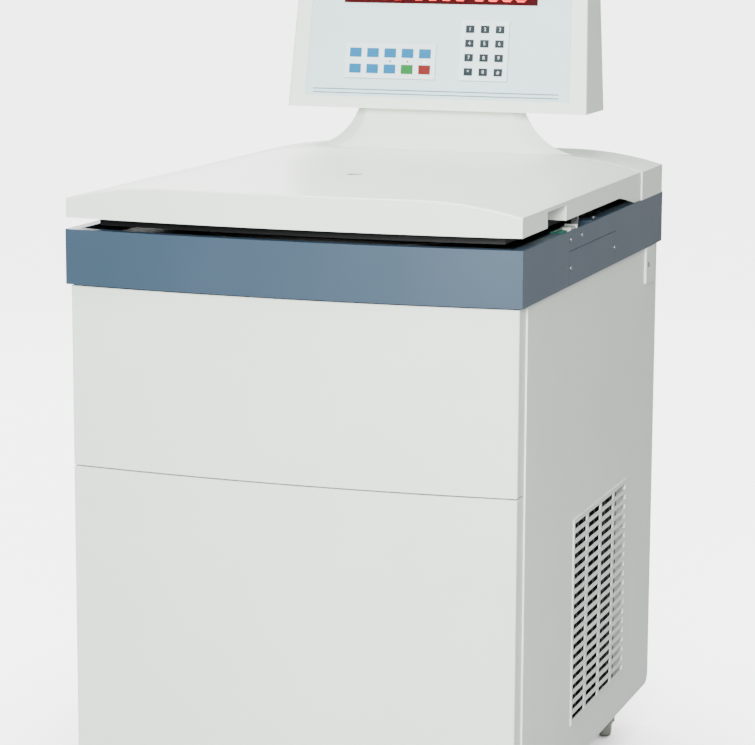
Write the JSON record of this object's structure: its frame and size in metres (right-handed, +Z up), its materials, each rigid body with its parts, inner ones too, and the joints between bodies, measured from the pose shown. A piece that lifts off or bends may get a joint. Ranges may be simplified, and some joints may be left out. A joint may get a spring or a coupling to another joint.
{
  "type": "floor-standing refrigerated centrifuge",
  "caption": "Floor-standing refrigerated centrifuge: cabinet on swivel casters, crowned lid on a rear hinge, angle rotor in a cooled chamber, tilted console on a flared neck.",
  "frame": {"origin": "on the floor, under the middle of the machine's plan", "axes": "+Z up, +X to the machine's right as its user faces it, -Y towards the user"},
  "size_m": [0.732, 0.873, 1.368],
  "materials": {
    "white_sheet": "warm white powder coat, satin",
    "blue_sheet": "blue-grey powder coat, satin",
    "frame_steel": "dark grey welded steel tube",
    "deck_black": "black textured coat",
    "white_plastic": "moulded warm white plastic",
    "console_plastic": "moulded warm white plastic",
    "grille_plastic": "moulded white grille",
    "liner_black": "black pan",
    "screw_zinc": "zinc-plated steel",
    "stainless": "spun stainless steel",
    "guard_steel": "rolled steel",
    "zinc_steel": "zinc-plated steel plate",
    "ground_steel": "ground steel",
    "rotor_aluminium": "anodised forged aluminium",
    "knob_aluminium": "dark anodised aluminium",
    "condenser_aluminium": "finned coil pack",
    "cast_casing": "cast and finned casing",
    "copper": "drawn copper tube",
    "compressor_coat": "black enamel",
    "motor_coat": "grey enamel",
    "seal_rubber": "moulded black rubber",
    "mount_rubber": "moulded black rubber",
    "foam": "rigid foam, cast in place",
    "black_plastic": "moulded black plastic",
    "overlay_film": "pale blue printed film",
    "led_filter": "dark red filter window",
    "key_film": "printed key film",
    "window_acrylic": "clear acrylic plug",
    "solenoid_cream": "cream moulded housing",
    "board_green": "green terminal blocks",
    "keeper_blue": "blue-grey coat",
    "spring_black": "black enamelled tube",
    "fan_black": "moulded black plastic",
    "fork_zinc": "pressed zinc-plated steel",
    "tyre_grey": "dark rubber tread on a nylon hub"
  },
  "bodies": {
    "cabinet": {"caster_plates": "fork_zinc", "chamber_bowl": "stainless", "chamber_gasket": "seal_rubber", "chamber_plate": "zinc_steel", "chassis_frame": "frame_steel", "collar": "blue_sheet", "collar_access_plate": "blue_sheet", "compressor": "compressor_coat", "condenser": "condenser_aluminium", "console_back": "console_plastic", "console_bezel": "console_plastic", "console_overlay": "overlay_film", "drive_motor": "motor_coat", "fan_shroud": "fan_black", "foam_insulation": "foam", "guard_ring": "guard_steel", "hinge_brackets": "zinc_steel", "inner_deck": "deck_black", "inverter_drive": "cast_casing", "keypads": "key_film", "led_window": "led_filter", "lock_keeper": "keeper_blue", "lock_solenoid": "solenoid_cream", "lower_front_panel": "white_sheet", "neck": "white_plastic", "panel_screws": "screw_zinc", "power_inlet": "black_plastic", "rear_cover": "white_plastic", "rear_panel": "white_sheet", "refrigerant_circuit": "copper", "rubber_mounts": "mount_rubber", "side_cover_plate": "white_sheet", "side_grille": "grille_plastic", "side_panel_left": "white_sheet", "side_panel_right": "white_sheet", "terminal_board": "board_green", "upper_front_panel": "white_sheet"},
    "lid": {"lid_shell": "white_plastic", "lid_liner": "liner_black", "lid_frame": "zinc_steel", "sight_window": "window_acrylic", "lid_striker": "zinc_steel"},
    "rotor_assembly": {"spindle": "ground_steel", "rotor": "rotor_aluminium", "rotor_knob": "knob_aluminium"},
    "fan": {"condenser_fan": "fan_black"},
    "bolt": {"lock_bolt": "ground_steel"},
    "rocker": {"switch_rocker": "black_plastic"},
    "cylinder_left": {"gas_cylinder_left": "spring_black"},
    "cylinder_right": {"gas_cylinder_right": "spring_black"},
    "rod_left": {"gas_rod_left": "ground_steel"},
    "rod_right": {"gas_rod_right": "ground_steel"},
    "fork_front_left": {"caster_fork_front_left": "fork_zinc"},
    "wheel_front_left": {"caster_wheel_front_left": "tyre_grey"},
    "fork_front_right": {"caster_fork_front_right": "fork_zinc"},
    "wheel_front_right": {"caster_wheel_front_right": "tyre_grey"},
    "fork_rear_left": {"caster_fork_rear_left": "fork_zinc"},
    "wheel_rear_left": {"caster_wheel_rear_left": "tyre_grey"},
    "fork_rear_right": {"caster_fork_rear_right": "fork_zinc"},
    "wheel_rear_right": {"caster_wheel_rear_right": "tyre_grey"}
  },
  "joints": [
    {"name": "lid_hinge", "type": "hinge", "parent": "cabinet", "child": "lid", "pos_m": [0, 0.297, 1.006], "axis": [-1, 0, 0], "range_deg": [0, 65]},
    {"name": "rotor_spin", "type": "hinge", "parent": "cabinet", "child": "rotor_assembly", "pos_m": [0, -0.12, 0.7], "axis": [0, 0, 1], "continuous": true},
    {"name": "fan_spin", "type": "hinge", "parent": "cabinet", "child": "fan", "pos_m": [0.29, 0.0635, 0.311], "axis": [1, 0, 0], "continuous": true},
    {"name": "lock_bolt_slide", "type": "slide", "parent": "cabinet", "child": "bolt", "axis": [0, 1, 0], "range_m": [0, 0.016], "stiffness_N_per_m": 60},
    {"name": "switch_rocker_tilt", "type": "hinge", "parent": "cabinet", "child": "rocker", "pos_m": [-0.25, 0.409, 0.22], "axis": [1, 0, 0], "range_deg": [0, 14]},
    {"name": "gas_cylinder_left_tilt", "type": "hinge", "parent": "cabinet", "child": "cylinder_left", "pos_m": [-0.3, 0.26, 0.82], "axis": [-1, 0, 0], "range_deg": [0, 7.19]},
    {"name": "gas_rod_left_slide", "type": "slide", "parent": "cylinder_left", "child": "rod_left", "axis": [0, -0.207, 0.9783], "range_m": [0, 0.07823]},
    {"name": "gas_cylinder_right_tilt", "type": "hinge", "parent": "cabinet", "child": "cylinder_right", "pos_m": [0.3, 0.26, 0.82], "axis": [-1, 0, 0], "range_deg": [0, 7.19]},
    {"name": "gas_rod_right_slide", "type": "slide", "parent": "cylinder_right", "child": "rod_right", "axis": [0, -0.207, 0.9783], "range_m": [0, 0.07823]},
    {"name": "caster_front_left_swivel", "type": "hinge", "parent": "cabinet", "child": "fork_front_left", "pos_m": [-0.315, -0.33, 0.08], "axis": [0, 0, 1], "continuous": true},
    {"name": "caster_front_left_wheel", "type": "hinge", "parent": "fork_front_left", "child": "wheel_front_left", "pos_m": [-0.32252, -0.30933, 0.0315], "axis": [0.9397, 0.342, 0], "continuous": true},
    {"name": "caster_front_right_swivel", "type": "hinge", "parent": "cabinet", "child": "fork_front_right", "pos_m": [0.315, -0.33, 0.08], "axis": [0, 0, 1], "continuous": true},
    {"name": "caster_front_right_wheel", "type": "hinge", "parent": "fork_front_right", "child": "wheel_front_right", "pos_m": [0.30748, -0.30933, 0.0315], "axis": [0.9397, 0.342, 0], "continuous": true},
    {"name": "caster_rear_left_swivel", "type": "hinge", "parent": "cabinet", "child": "fork_rear_left", "pos_m": [-0.315, 0.308, 0.08], "axis": [0, 0, 1], "continuous": true},
    {"name": "caster_rear_left_wheel", "type": "hinge", "parent": "fork_rear_left", "child": "wheel_rear_left", "pos_m": [-0.32252, 0.32867, 0.0315], "axis": [0.9397, 0.342, 0], "continuous": true},
    {"name": "caster_rear_right_swivel", "type": "hinge", "parent": "cabinet", "child": "fork_rear_right", "pos_m": [0.315, 0.308, 0.08], "axis": [0, 0, 1], "continuous": true},
    {"name": "caster_rear_right_wheel", "type": "hinge", "parent": "fork_rear_right", "child": "wheel_rear_right", "pos_m": [0.30748, 0.32867, 0.0315], "axis": [0.9397, 0.342, 0], "continuous": true}
  ],
  "couplings": [
    {"joint": "gas_cylinder_left_tilt", "follows": "lid_hinge", "ratio": 0.11031},
    {"joint": "gas_rod_left_slide", "follows": "lid_hinge", "m_per_rad": 0.068874},
    {"joint": "gas_cylinder_right_tilt", "follows": "lid_hinge", "ratio": 0.11031},
    {"joint": "gas_rod_right_slide", "follows": "lid_hinge", "m_per_rad": 0.068874}
  ]
}
